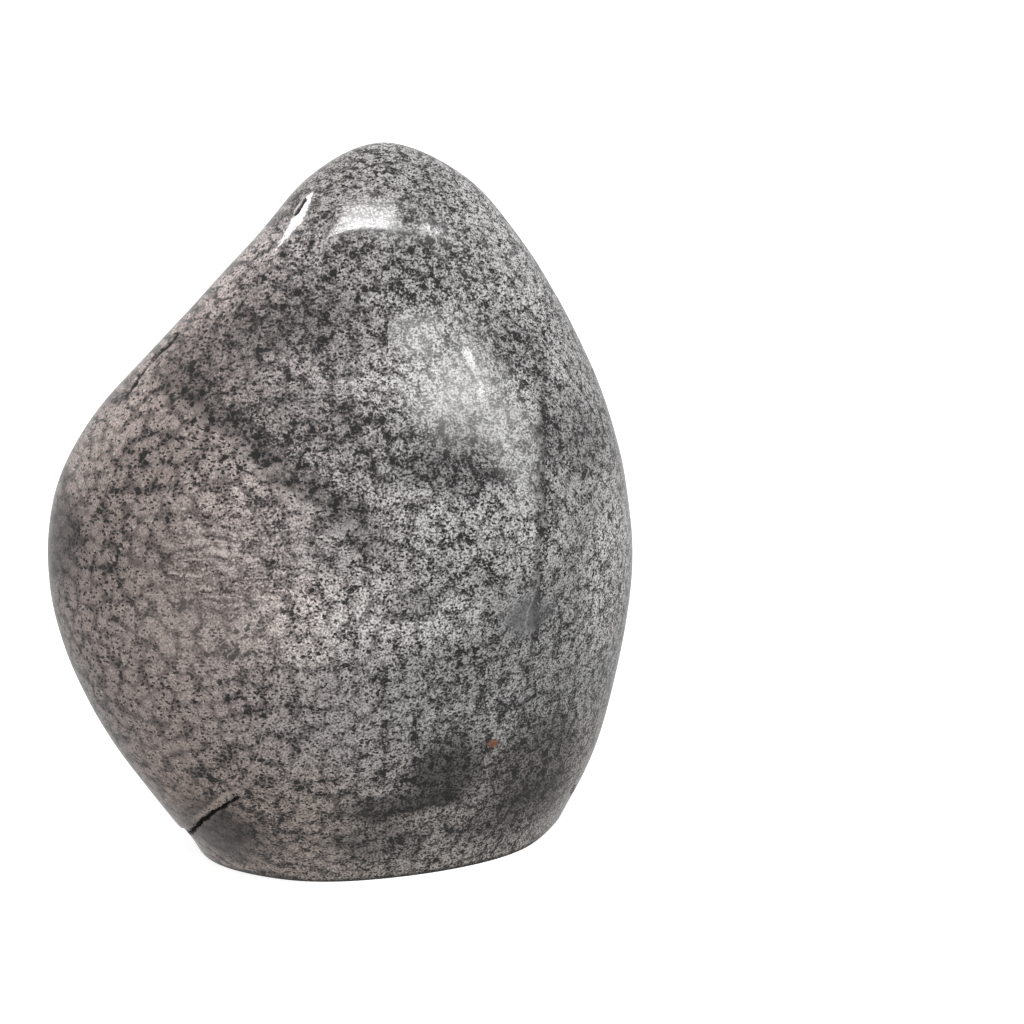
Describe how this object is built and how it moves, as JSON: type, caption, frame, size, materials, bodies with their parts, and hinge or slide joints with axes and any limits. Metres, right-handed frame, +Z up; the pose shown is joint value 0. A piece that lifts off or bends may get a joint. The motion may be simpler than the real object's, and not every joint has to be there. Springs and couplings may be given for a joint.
{
  "type": "fossil coral head",
  "caption": "Polished freeform stone of fossil coral: a rounded, leaning flame shape with broad faces, standing upright on its flat-cut foot.",
  "frame": {"origin": "middle of the stone's footprint, on the flat cut that it stands on", "axes": "+Z up, +X to the right along the broad face, -Y out of the broad face that shows best"},
  "size_m": [0.1014, 0.0584, 0.12],
  "materials": {
    "polished_fossil_coral": "grey calcite limestone full of coral cups, polished to a gloss, with a sawn matt foot"
  },
  "bodies": {
    "root": {"coral_stone": "polished_fossil_coral"}
  },
  "joints": []
}
